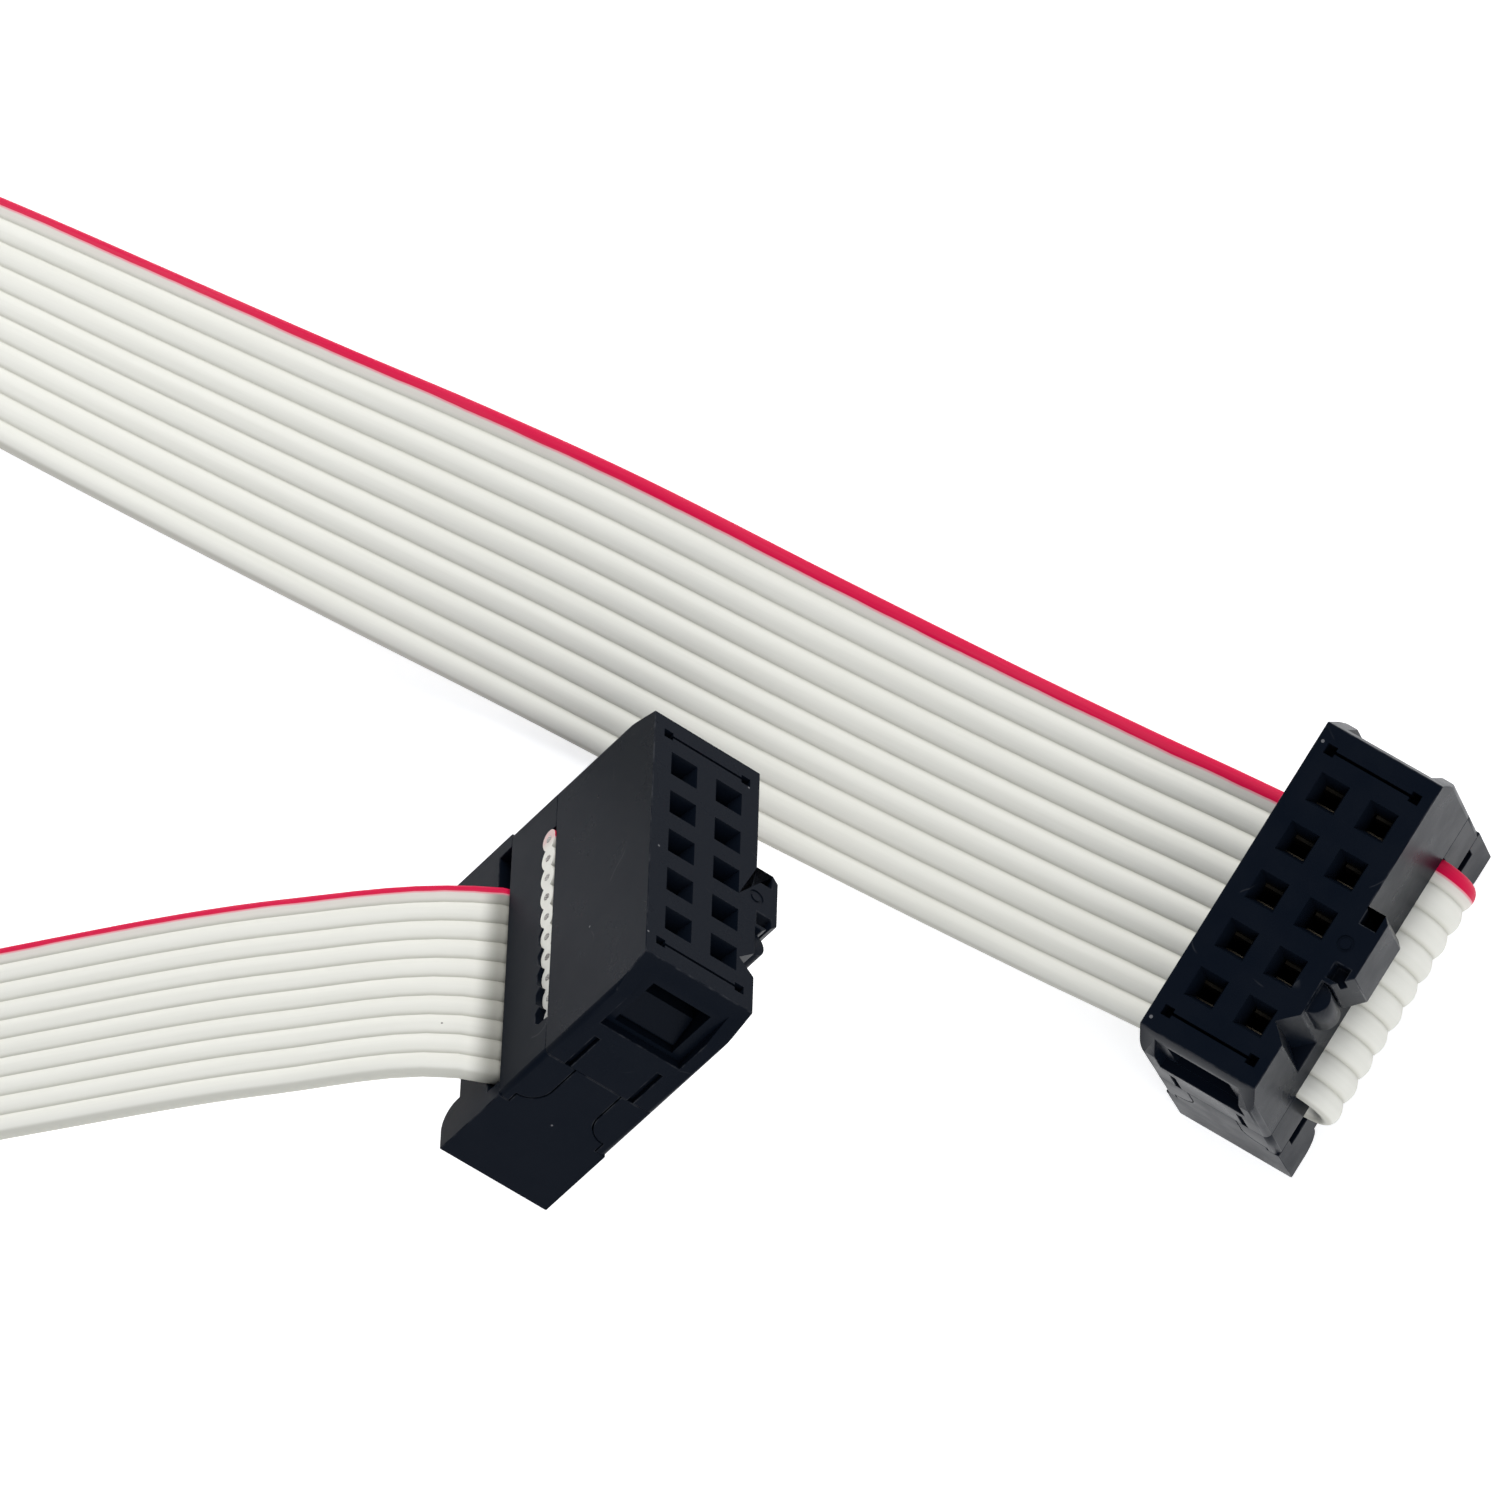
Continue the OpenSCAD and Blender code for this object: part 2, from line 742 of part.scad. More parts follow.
cable_jacket();
for (i = [1:wires]) {
    wire_core(i - 1);
    contact(i - 1);
    place_left() contact(i - 1);
}
housing();  // right_housing
cover();  // right_cover
strain_relief();  // right_strain_relief
place_left() housing();  // left_housing
place_left() cover();  // left_cover
place_left() strain_relief();  // left_strain_relief
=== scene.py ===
"""Looks of a flat ribbon cable of ten wires with a two-row socket pressed on each end.

The cable's skin and its strands are swept along the same route as in the construction, on smooth
curves. The moulded pieces are copies of the construction's solids with softened edges. The script
works in millimetres and turns them to metres where a mesh is finished.
"""

import logging
import math
from dataclasses import dataclass, field
from enum import Enum

import bmesh
import bpy
from bmesh.types import BMEdge, BMesh, BMFace
from bpy.types import Material, Node, NodeSocket, NodeTree, Object
from mathutils import Euler, Matrix, Vector


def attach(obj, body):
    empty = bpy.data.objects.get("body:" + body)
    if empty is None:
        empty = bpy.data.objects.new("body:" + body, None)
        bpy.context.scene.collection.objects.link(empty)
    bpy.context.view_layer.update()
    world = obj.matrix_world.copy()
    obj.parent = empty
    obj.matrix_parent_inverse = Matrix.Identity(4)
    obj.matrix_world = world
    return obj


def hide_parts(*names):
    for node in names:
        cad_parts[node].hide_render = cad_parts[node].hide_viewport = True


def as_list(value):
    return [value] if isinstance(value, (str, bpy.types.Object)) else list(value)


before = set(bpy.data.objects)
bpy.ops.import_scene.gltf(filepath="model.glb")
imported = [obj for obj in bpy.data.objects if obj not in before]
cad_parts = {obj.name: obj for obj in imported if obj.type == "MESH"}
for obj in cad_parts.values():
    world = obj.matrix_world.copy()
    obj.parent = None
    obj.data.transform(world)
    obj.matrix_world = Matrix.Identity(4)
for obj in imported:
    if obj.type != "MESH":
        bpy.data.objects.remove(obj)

MM = 0.001
Triple = tuple[float, float, float]
Colour = tuple[float, float, float, float]
Pair = tuple[float, float]
Run = list[tuple[Vector, Vector]]
Feed = NodeSocket | float | tuple
TONE_RANGE: Pair = (0.3, 0.7)
LOG = logging.getLogger("ribbon_cable")


class End(Enum):
    """The two sockets of the cable, by where the photograph shows them."""

    RIGHT = "right"
    LEFT = "left"


class Moulding(Enum):
    """The three moulded pieces of a socket."""

    HOUSING = "housing"
    COVER = "cover"
    RELIEF = "strain_relief"


class Slot(Enum):
    """Names for material slots."""

    INSULATION = "cable_insulation"
    STRANDS = "tinned_strands"
    PLASTIC = "socket_plastic"


@dataclass(frozen=True)
class SocketSizes:
    """Sizes shared by both sockets, and the place of the cable in them."""

    width: float = 6.0
    length: float = 17.2
    upper_pass: float = 7.2
    lower_pass: float = 3.85
    cut_inset: float = -0.04
    exit_stretch: float = 0.15


@dataclass(frozen=True)
class LeftPose:
    """Place and lean of the left socket."""

    place: Triple = (-29.7, -22.4, 6.5865)
    roll: float = -45.0
    pitch: float = 40.0
    yaw: float = 5.0

    def matrix(self) -> Matrix:
        """Turn and move that bring a point of a standing socket to the left one."""
        angles = [math.radians(a) for a in (self.roll, self.pitch, self.yaw)]
        return Matrix.Translation(self.place) @ Euler(angles, "XYZ").to_matrix().to_4x4()


@dataclass(frozen=True)
class Station:
    """Middle of the cable at one place.

    It holds the direction in which the cable runs, the direction across to its striped edge and
    the distance along from the first cut end.
    """

    place: Vector
    heading: Vector
    across: Vector
    along: float = 0.0

    def matrix(self) -> Matrix:
        """Frame of the station.

        Returns:
            Matrix whose X, Y and Z run across, along and over the cable.
        """
        heading = self.heading.normalized()
        over = heading.cross(self.across).normalized()
        across = over.cross(heading)
        turn = Matrix((across, heading, over)).transposed().to_4x4()
        return Matrix.Translation(self.place) @ turn


@dataclass(frozen=True)
class CableRoute:
    """Route of the cable from one cut end to the other.

    The free run is given by its places and by its roll, which is 0 where the cable lies flat and
    90 where it stands on its striped edge.
    """

    socket: SocketSizes = SocketSizes()
    pose: LeftPose = LeftPose()
    right_drift: float = -0.3
    left_drift: float = -0.9
    right_fold_out: float = 1.2
    left_fold_out: float = 0.72
    bend_radius: float = 2.2
    bend_angle: float = 26.0
    bend_from: float = -2.0
    fold_steps: int = 22
    bend_steps: int = 8
    pass_steps: int = 3
    step: float = 1.4
    run: tuple[tuple[float, float, float, float], ...] = (
        (-7, -0.45, 3.5, 0),
        (-12, -0.7, 2.5, 0),
        (-20, -1, 0.9, 0),
        (-30, -1.5, 0.5, 0),
        (-40, -2, 0.7, 2),
        (-48, -2.7, 1.4, 8),
        (-55, -3.4, 2.1, 14.5),
        (-63, -4.1, 2.7, 20),
        (-75, -5.1, 3.5, 28),
        (-89, -6.7, 4.4, 37),
        (-103, -10.3, 5, 47),
        (-115, -17.5, 5.7, 58),
        (-123.5, -28, 6.1, 69),
        (-126, -41, 6.3, 79),
        (-122.5, -53.5, 6.4, 88),
        (-113.5, -63, 6.4, 97),
        (-101, -67, 6.4, 106),
        (-88.5, -64.5, 6.5, 115),
        (-77, -57, 6.7, 125),
        (-67.5, -49.4, 7.2, 135),
        (-57, -41, 8.5, 145),
        (-47.7, -33.3, 10.1, 147),
        (-38.3, -25.9, 11.2, 147),
    )

    def in_socket(self, drift: float, out: float, finish: float) -> Run:
        """Places and headings inside a standing socket, from the cut end to the exit.

        Args:
            drift: How far the cable moves along the rows on its way.
            out: How far the fold stands out, at the middle of the cable's thickness.
            finish: Where the straight stretch after the fold ends.

        Returns:
            Pairs of place and heading.
        """
        half = self.socket.width / 2
        upper, lower = self.socket.upper_pass, self.socket.lower_pass
        rise = (upper - lower) / 2
        middle = (upper + lower) / 2
        start = -half + self.socket.cut_inset
        count = self.pass_steps
        pairs = [
            (Vector((start + (half - start) * n / count, 0, upper)), Vector((1, 0, 0)))
            for n in range(count)
        ]
        for n in range(self.fold_steps + 1):
            a = math.pi * n / self.fold_steps
            x, z = half + out * math.sin(a), middle + rise * math.cos(a)
            heading = Vector((out * math.cos(a), 0, -rise * math.sin(a))).normalized()
            pairs.append((Vector((x, drift / 2 * n / self.fold_steps, z)), heading))
        for n in range(1, count + 1):
            x, y = half + (finish - half) * n / count, drift / 2 * (1 + n / count)
            pairs.append((Vector((x, y, lower)), Vector((-1, 0, 0))))
        return pairs

    def exit_bend(self, start: Vector) -> Run:
        """Bend at the left socket's mouth, as if that socket stood.

        Args:
            start: Where the bend starts.

        Returns:
            Pairs of place and heading.
        """
        pairs = []
        for n in range(1, self.bend_steps + 1):
            a = math.radians(self.bend_angle) * n / self.bend_steps
            place = start - self.bend_radius * Vector((math.sin(a), 0, 1 - math.cos(a)))
            pairs.append((place, Vector((-math.cos(a), 0, -math.sin(a)))))
        return pairs

    @staticmethod
    def rolled(heading: Vector, roll: float) -> Vector:
        """Direction to the striped edge.

        Args:
            heading: Direction in which the cable runs.
            roll: Its roll in degrees.

        Returns:
            The direction.
        """
        right = heading.cross(Vector((0, 0, 1))).normalized()
        a = math.radians(roll)
        return math.cos(a) * right + math.sin(a) * heading.cross(right)

    @staticmethod
    def roll_of(station: Station) -> float:
        """Roll of a station whose width direction is known.

        Args:
            station: The station.

        Returns:
            Degrees from 0 to 360.
        """
        right = station.heading.cross(Vector((0, 0, 1))).normalized()
        rise = station.heading.cross(right)
        a = math.atan2(station.across.dot(rise), station.across.dot(right))
        return math.degrees(a) % 360

    def right_part(self) -> list[Station]:
        """Stations inside the right socket.

        Returns:
            Stations from its cut end to its exit.
        """
        side = Vector((0, 1, 0))
        finish = -self.socket.width / 2 - self.socket.exit_stretch
        sizes = (self.right_drift, self.right_fold_out, finish)
        return [Station(p, h, side) for p, h in self.in_socket(*sizes)]

    def left_part(self) -> list[Station]:
        """Stations inside the left socket, with the bend at its mouth.

        Returns:
            Stations from the outer end of the bend to the cut end.
        """
        inside = self.in_socket(self.left_drift, self.left_fold_out, self.bend_from)
        pairs = inside + self.exit_bend(inside[-1][0])
        matrix = self.pose.matrix()
        turn = matrix.to_3x3()
        side = turn @ Vector((0, 1, 0))
        return [Station(matrix @ p, -(turn @ h), side) for p, h in reversed(pairs)]

    def free_run(self, first: Station, last: Station) -> list[Station]:
        """Stations on a smooth curve between the two sockets, ends left out.

        Args:
            first: Station at the right socket's exit.
            last: Station at the outer end of the left socket's bend.

        Returns:
            Stations about a step apart.
        """
        places = [first.place] + [Vector(r[:3]) for r in self.run] + [last.place]
        rolls = [0.0] + [r[3] for r in self.run] + [self.roll_of(last)]
        spans = [after - before for before, after in zip(places, places[2:])]
        headings = [h.normalized() for h in (first.heading, *spans, last.heading)]
        turns = [(b - a) / s.length for a, b, s in zip(rolls, rolls[2:], spans)]
        turns = [0.0, *turns, 0.0]
        stations = []
        for i in range(len(places) - 1):
            chord = (places[i + 1] - places[i]).length
            pieces = max(2, round(chord / self.step))
            for n in range(pieces):
                if i == 0 and n == 0:
                    continue
                # Weights of a cubic curve through both places with both headings
                t = n / pieces
                h00, h10 = 2 * t**3 - 3 * t**2 + 1, t**3 - 2 * t**2 + t
                h01, h11 = -2 * t**3 + 3 * t**2, t**3 - t**2
                place = (
                    h00 * places[i] + h10 * chord * headings[i]
                    + h01 * places[i + 1] + h11 * chord * headings[i + 1]
                )
                roll = (
                    h00 * rolls[i] + h10 * chord * turns[i]
                    + h01 * rolls[i + 1] + h11 * chord * turns[i + 1]
                )
                d00, d10 = 6 * t**2 - 6 * t, 3 * t**2 - 4 * t + 1
                d11 = 3 * t**2 - 2 * t
                heading = (
                    d00 * places[i] + d10 * chord * headings[i]
                    - d00 * places[i + 1] + d11 * chord * headings[i + 1]
                ).normalized()
                stations.append(Station(place, heading, self.rolled(heading, roll)))
        return stations

    def stations(self) -> list[Station]:
        """All stations of the cable.

        Returns:
            Stations from cut end to cut end, with their distance along the cable.
        """
        right = self.right_part()
        left = self.left_part()
        parts = right + self.free_run(right[-1], left[0]) + left
        along = 0.0
        measured = []
        for n, station in enumerate(parts):
            if n:
                along += (station.place - parts[n - 1].place).length
            measured.append(Station(station.place, station.heading, station.across, along))
        return measured

    def left_mouth(self) -> float:
        """Where the cable enters the left socket.

        Returns:
            Distance along the cable.
        """
        back = self.pose.matrix().inverted()
        last = self.stations()[-len(self.left_part()):]
        side = -self.socket.width / 2
        return next(s.along for s in last if (back @ s.place).x > side)


class NodeBoard:
    """Adds and joins the nodes of one material, world or group."""

    def __init__(self, tree: NodeTree) -> None:
        """Empties the tree and starts on it."""
        self.tree = tree
        tree.nodes.clear()

    def add(
        self, kind: str, values: dict[str | int, Feed] | None = None, **settings: object
    ) -> Node:
        """Adds a node.

        Args:
            kind: Blender's name of the node type.
            values: Sockets to set or to link, by name or number.
            settings: Properties of the node.

        Returns:
            The node.
        """
        node = self.tree.nodes.new(kind)
        for name, value in settings.items():
            setattr(node, name, value)
        self.feed(node, values or {})
        return node

    def feed(self, node: Node, values: dict[str | int, Feed]) -> None:
        """Links the inputs of a node to other sockets, or sets their own values.

        Args:
            node: The node.
            values: What each input is fed, by name or number.
        """
        for key, value in values.items():
            if isinstance(value, NodeSocket):
                self.tree.links.new(value, node.inputs[key])
            else:
                node.inputs[key].default_value = value

    def group(self, tree: NodeTree, **values: Feed) -> Node:
        """Adds a shared group and feeds its inputs by name."""
        return self.add("ShaderNodeGroup", values, node_tree=tree)

    def attribute(self, name: str) -> NodeSocket:
        """Number that a mesh holds in an attribute."""
        return self.add("ShaderNodeAttribute", attribute_name=name).outputs["Fac"]

    def coat(self, values: dict[str, Feed]) -> None:
        """Adds a material's Principled BSDF with these inputs, and its output."""
        shader = self.add("ShaderNodeBsdfPrincipled", values)
        self.add("ShaderNodeOutputMaterial", {"Surface": shader.outputs[0]})

    def math(self, operation: str, *values: Feed, clamp: bool = False) -> NodeSocket:
        """Adds a Math node.

        Args:
            operation: Blender's name of the operation.
            values: One to three values.
            clamp: Whether the result stays between 0 and 1.

        Returns:
            The result.
        """
        node = self.add("ShaderNodeMath", dict(enumerate(values)), operation=operation)
        node.use_clamp = clamp
        return node.outputs[0]

    def times(self, first: Feed, second: Feed) -> NodeSocket:
        """Product of two values."""
        return self.math("MULTIPLY", first, second)

    def ramp(self, value: Feed, span: Pair, results: Pair = (0.0, 1.0)) -> NodeSocket:
        """Maps a value smoothly from one range to another, clamped.

        Args:
            value: The value.
            span: Its range.
            results: Results at the start and at the end of the range.

        Returns:
            The result.
        """
        values = dict(enumerate((value, *span, *results)))
        node = self.add("ShaderNodeMapRange", values, interpolation_type="SMOOTHSTEP")
        return node.outputs[0]

    def by_tone(self, grain: Node, low: float = 0.0, high: float = 1.0) -> NodeSocket:
        """Value between two limits that follows the grain's tone."""
        return self.ramp(grain.outputs["Tone"], TONE_RANGE, (low, high))

    def mix(self, factor: Feed, first: Feed, second: Feed) -> NodeSocket:
        """Mixes two colours.

        Args:
            factor: Share of the second colour.
            first: First colour.
            second: Second colour.

        Returns:
            The mixed colour.
        """
        values = {0: factor, 6: first, 7: second}
        return self.add("ShaderNodeMix", values, data_type="RGBA").outputs[2]

    def noise(
        self, vector: Feed, scale: Feed, detail: float = 3.0, rough: float = 0.5
    ) -> NodeSocket:
        """Adds a noise texture.

        Args:
            vector: Where it is read.
            scale: Its scale.
            detail: Number of finer layers.
            rough: Weight of the finer layers.

        Returns:
            Its value.
        """
        node = self.add(
            "ShaderNodeTexNoise",
            {"Vector": vector, "Scale": scale, "Detail": detail, "Roughness": rough},
        )
        return node.outputs[0]


class SurfaceGroups:
    """Shader groups that more than one finish uses."""

    def __init__(self) -> None:
        """Builds every group once."""
        self.grain = self._grain()
        self.specks = self._specks()
        self.scratches = self._scratches()

    @staticmethod
    def _start(
        name: str, outputs: tuple[str, ...], **inputs: float
    ) -> tuple[NodeBoard, Node, Node]:
        """Starts a group that reads a vector, a scale and other numbers.

        Args:
            name: Name of the group.
            outputs: Names of its outputs.
            inputs: Its other inputs and what they are unless fed.

        Returns:
            The board, the input node and the output node.
        """
        tree = bpy.data.node_groups.new(name, "ShaderNodeTree")
        number = "NodeSocketFloat"
        tree.interface.new_socket("Vector", in_out="INPUT", socket_type="NodeSocketVector")
        for key, value in {"Scale": 1.0, **inputs}.items():
            made = tree.interface.new_socket(key, in_out="INPUT", socket_type=number)
            made.default_value = value
        for key in outputs:
            tree.interface.new_socket(key, in_out="OUTPUT", socket_type=number)
        board = NodeBoard(tree)
        return board, board.add("NodeGroupInput"), board.add("NodeGroupOutput")

    def _grain(self) -> NodeTree:
        """Fine even grain with a slow mottle: height and tone, about 0.5.

        Returns:
            The group.
        """
        fine_share = 0.7
        board, given, made = self._start("fine_grain", ("Height", "Tone"), Mottle=0.1)
        place, scale, mottle = given.outputs[:3]
        fine = board.noise(place, scale, 2.0, 0.6)
        slow = board.noise(place, board.times(scale, mottle), 4.0, 0.55)
        weighed = board.times(fine, fine_share), board.times(slow, 1.0 - fine_share)
        height = board.math("ADD", *weighed)
        board.feed(made, {"Height": height, "Tone": slow})
        return board.tree

    def _specks(self) -> NodeTree:
        """Scattered small specks of dust: a mask.

        Returns:
            The group.
        """
        least_size = 0.3
        board, given, made = self._start("dust_specks", ("Mask",), Share=0.05, Size=0.1)
        place, scale, share, size = given.outputs[:4]
        cells = board.add("ShaderNodeTexVoronoi", {"Vector": place, "Scale": scale})
        pick = board.add("ShaderNodeSeparateColor", {0: cells.outputs["Color"]})
        chosen = board.math("LESS_THAN", pick.outputs[0], share)
        reach = board.times(size, board.math("ADD", pick.outputs[1], least_size))
        near = board.math("LESS_THAN", cells.outputs["Distance"], reach)
        board.feed(made, {"Mask": board.times(chosen, near)})
        return board.tree

    def _scratches(self) -> NodeTree:
        """Sparse short hairlines: a mask.

        Returns:
            The group.
        """
        gaps_scale, gaps_range = 1.9, (0.6, 0.68)
        board, given, made = self._start("hairline_scratches", ("Mask",), Width=0.006)
        place, scale, width = given.outputs[:3]
        path = board.noise(place, scale, 1.0, 0.4)
        offset = board.math("ABSOLUTE", board.math("SUBTRACT", path, 0.5))
        line = board.math("LESS_THAN", offset, width)
        gaps = board.noise(place, board.times(scale, gaps_scale), 2.0, 0.5)
        mask = board.times(line, board.ramp(gaps, gaps_range))
        board.feed(made, {"Mask": mask})
        return board.tree


def new_material(name: str) -> tuple[Material, NodeBoard]:
    """Empty material.

    Args:
        name: Name of the material.

    Returns:
        The material and its board.
    """
    material = bpy.data.materials.new(name)
    material.use_nodes = True
    return material, NodeBoard(material.node_tree)


@dataclass(frozen=True)
class Grain:
    """Fine relief of a finish, with its depth in metres, and its play of gloss.

    The lowest and the highest tone add low and high to the roughness.
    """

    scale: float
    mottle: float
    strength: float
    depth: float
    low: float
    high: float

    def add(self, board: NodeBoard, groups: SurfaceGroups, place: Feed) -> Node:
        """Adds the grain to a material."""
        return board.group(groups.grain, Vector=place, Scale=self.scale, Mottle=self.mottle)

    def rough(self, board: NodeBoard, grain: Node, level: float) -> NodeSocket:
        """Roughness about a level."""
        return board.by_tone(grain, level + self.low, level + self.high)

    def normal(self, board: NodeBoard, grain: Node) -> NodeSocket:
        """Normal bent by the relief."""
        values = {"Height": grain.outputs["Height"], "Strength": self.strength,
                  "Distance": self.depth}
        return board.add("ShaderNodeBump", values).outputs[0]


@dataclass(frozen=True)
class Dust:
    """Specks that lie on a finish."""

    colour: Colour
    scale: float
    share: float
    size: float
    cover: float

    def over(self, board: NodeBoard, groups: SurfaceGroups, place: Feed, base: Feed) -> NodeSocket:
        """Lays the specks over a colour.

        Args:
            board: Board of the material.
            groups: Shared shader groups.
            place: Where the specks are read.
            base: The colour.

        Returns:
            The colour with its specks.
        """
        mask = board.group(
            groups.specks, Vector=place, Scale=self.scale, Share=self.share, Size=self.size
        ).outputs[0]
        return board.mix(board.times(mask, self.cover), base, self.colour)


@dataclass(frozen=True)
class MouldedPlastic:
    """Black filled plastic, fresh from the mould, with a little dust and handling wear."""

    name: str
    colour: Colour = (0.0034, 0.0056, 0.0105, 1)
    mottle: Colour = (0.0044, 0.0066, 0.0115, 1)
    worn: Colour = (0.05, 0.052, 0.058, 1)
    roughness: float = 0.29
    specular: float = 0.03
    grain: Grain = Grain(9000.0, 0.05, 0.12, 0.00003, -0.03, 0.05)
    dust: Dust = Dust((0.22, 0.22, 0.23, 1), 1100.0, 0.03, 0.09, 0.6)
    scratch_scale: float = 260.0
    scratch_width: float = 0.0035
    scratch_cover: float = 0.35
    wear_scale: float = 1500.0
    wear_gaps: Pair = (0.4, 0.65)
    wear_cover: float = 0.45
    wear_polish: float = 0.2

    def build(self, groups: SurfaceGroups) -> Material:
        """Makes the material.

        Args:
            groups: Shared shader groups.

        Returns:
            The material.
        """
        material, board = new_material(self.name)
        place = board.add("ShaderNodeTexCoord").outputs["Object"]
        grain = self.grain.add(board, groups, place)
        lines = board.group(
            groups.scratches, Vector=place, Scale=self.scratch_scale,
            Width=self.scratch_width,
        ).outputs[0]
        patchy = board.ramp(board.noise(place, self.wear_scale), self.wear_gaps)
        wear = board.times(board.attribute("rim"), patchy)
        wear = board.times(wear, self.wear_cover)
        base = board.mix(board.by_tone(grain), self.colour, self.mottle)
        base = board.mix(wear, base, self.worn)
        base = board.mix(board.times(lines, self.scratch_cover), base, self.worn)
        rough = self.grain.rough(board, grain, self.roughness)
        rough = board.math("SUBTRACT", rough, board.times(wear, self.wear_polish))
        board.coat({
            "Base Color": self.dust.over(board, groups, place, base),
            "Roughness": rough,
            "Normal": self.grain.normal(board, grain),
            "Specular IOR Level": self.specular,
        })
        return material


@dataclass(frozen=True)
class CableVinyl:
    """Soft pale insulation with a printed stripe along its first wire. Its colour also holds
    painted shade in the valleys between the wires, beside the stripe and just before the left
    socket's mouth, and a painted highlight along the stripe's inner edge.

    The pattern reads the skin's own attribute: distance across and along in millimetres, and
    height over the cable's middle.
    """

    name: str = "cable_vinyl"
    crest: Colour = (0.80, 0.79, 0.725, 1)
    # painted shade of the valleys between the wires
    groove_shade: Colour = (0.60, 0.59, 0.525, 1)
    streak: Colour = (0.66, 0.655, 0.58, 1)
    stripe: Colour = (0.63, 0.0004, 0.052, 1)
    # pink of spread ink, darkened as painted shade
    ink_bleed_and_shade: Colour = (0.62, 0.50, 0.465, 1)
    # painted highlight: lighter pink along the stripe's inner edge
    stripe_edge_highlight: Colour = (0.80, 0.22, 0.29, 1)
    # painted shade at the left socket's mouth
    shade: Colour = (0.20, 0.195, 0.165, 1)
    crest_heights: Pair = (0.22, 0.36)
    streak_across: float = 2.2
    streak_along: float = 0.07
    streak_range: Pair = (0.35, 0.7)
    streak_cover: float = 0.22
    wobble: float = 0.14
    wobble_along: float = 0.3
    bleed_places: Pair = (5.0, 5.5)
    bleed_cover: float = 0.4
    stripe_places: Pair = (5.58, 5.63)
    halo_places: Pair = (5.48, 5.56)
    halo_cover: float = 0.75
    ink_range: Pair = (0.2, 0.6)
    thin_ink: float = 0.93
    cut_halo: float = 0.1
    cut_ink: float = 0.16
    left_mouth: float = 0.0
    shade_reach: float = 1.1
    shade_ends: Pair = (1.0, 2.5)
    shade_cover: float = 0.8
    roughness: float = 0.46
    specular: float = 0.1
    grain: Grain = Grain(6.0, 0.15, 0.15, 0.00003, -0.05, 0.1)
    specks: Dust = Dust((0.10, 0.09, 0.07, 1), 0.9, 0.02, 0.06, 0.75)

    def build(self, groups: SurfaceGroups) -> Material:
        """Makes the material.

        Args:
            groups: Shared shader groups.

        Returns:
            The material.
        """
        material, board = new_material(self.name)
        lay = board.add("ShaderNodeAttribute", attribute_name="lay").outputs["Vector"]
        across, along, height = board.add("ShaderNodeSeparateXYZ", {0: lay}).outputs
        cut = board.attribute("cut")
        streak_place = board.add("ShaderNodeCombineXYZ", {
            0: board.times(across, self.streak_across),
            1: board.times(along, self.streak_along),
            2: height,
        }).outputs[0]
        streaks = board.noise(streak_place, 1.0, 4.0, 0.6)
        # Painted shade: the valleys between the wires take a darker colour than the crests; cut
        # faces keep the crest colour.
        lift = board.ramp(board.math("ABSOLUTE", height), self.crest_heights)
        base = board.mix(board.math("MAXIMUM", lift, cut), self.groove_shade, self.crest)
        tint = board.ramp(streaks, self.streak_range, (0.0, self.streak_cover))
        base = board.mix(tint, base, self.streak)
        edge = self._wavy(board, across, along)
        # Pink of ink that has spread beside the stripe, darkened as painted shade between the
        # stripe and the next valley.
        pale = board.ramp(edge, self.bleed_places, (0.0, self.bleed_cover))
        base = board.mix(pale, base, self.ink_bleed_and_shade)
        # Painted shade: the cable darkens just before the left socket's mouth, in place of the
        # cover's contact shadow.
        base = board.mix(self._mouth(board, along), base, self.shade)
        # Painted highlight: a lighter pink line along the stripe's inner edge; it fades on the cut
        # faces.
        stripe_edge_highlight = board.ramp(edge, self.halo_places, (0.0, self.halo_cover))
        stripe_edge_highlight = board.times(stripe_edge_highlight, board.ramp(cut, (0.0, 1.0), (1.0, self.cut_halo)))
        base = board.mix(stripe_edge_highlight, base, self.stripe_edge_highlight)
        ink = board.ramp(edge, self.stripe_places)
        density = board.ramp(streaks, self.ink_range, (self.thin_ink, 1.0))
        density = board.times(density, board.ramp(cut, (0.0, 1.0), (1.0, self.cut_ink)))
        base = board.mix(board.times(ink, density), base, self.stripe)
        grain = self.grain.add(board, groups, streak_place)
        board.coat({
            "Base Color": self.specks.over(board, groups, lay, base),
            "Roughness": self.grain.rough(board, grain, self.roughness),
            "Normal": self.grain.normal(board, grain),
            "Specular IOR Level": self.specular,
        })
        return material

    def _wavy(self, board: NodeBoard, across: Feed, along: Feed) -> NodeSocket:
        """Distance across, with the slow waver of the print.

        Args:
            board: Board of the material.
            across: Distance across the cable.
            along: Distance along it.

        Returns:
            The distance.
        """
        row, layer = 3.0, 7.0
        place = board.add("ShaderNodeCombineXYZ", {
            0: board.times(along, self.wobble_along), 1: row, 2: layer
        }).outputs[0]
        even = board.math("SUBTRACT", board.noise(place, 1.0), 0.5)
        return board.math("ADD", across, board.times(even, self.wobble))

    def _mouth(self, board: NodeBoard, along: Feed) -> NodeSocket:
        """Mask of the painted shade at the left socket's mouth, which stands in for the cover's
        contact shadow on the cable.

        Args:
            board: Board of the material.
            along: Distance along the cable.

        Returns:
            The mask.
        """
        mouth = self.left_mouth
        span = (mouth - self.shade_reach, mouth)
        before = board.ramp(along, span, (0.0, self.shade_cover))
        span = (mouth + self.shade_ends[0], mouth + self.shade_ends[1])
        inside = board.ramp(along, span, (1.0, 0.0))
        return board.times(before, inside)


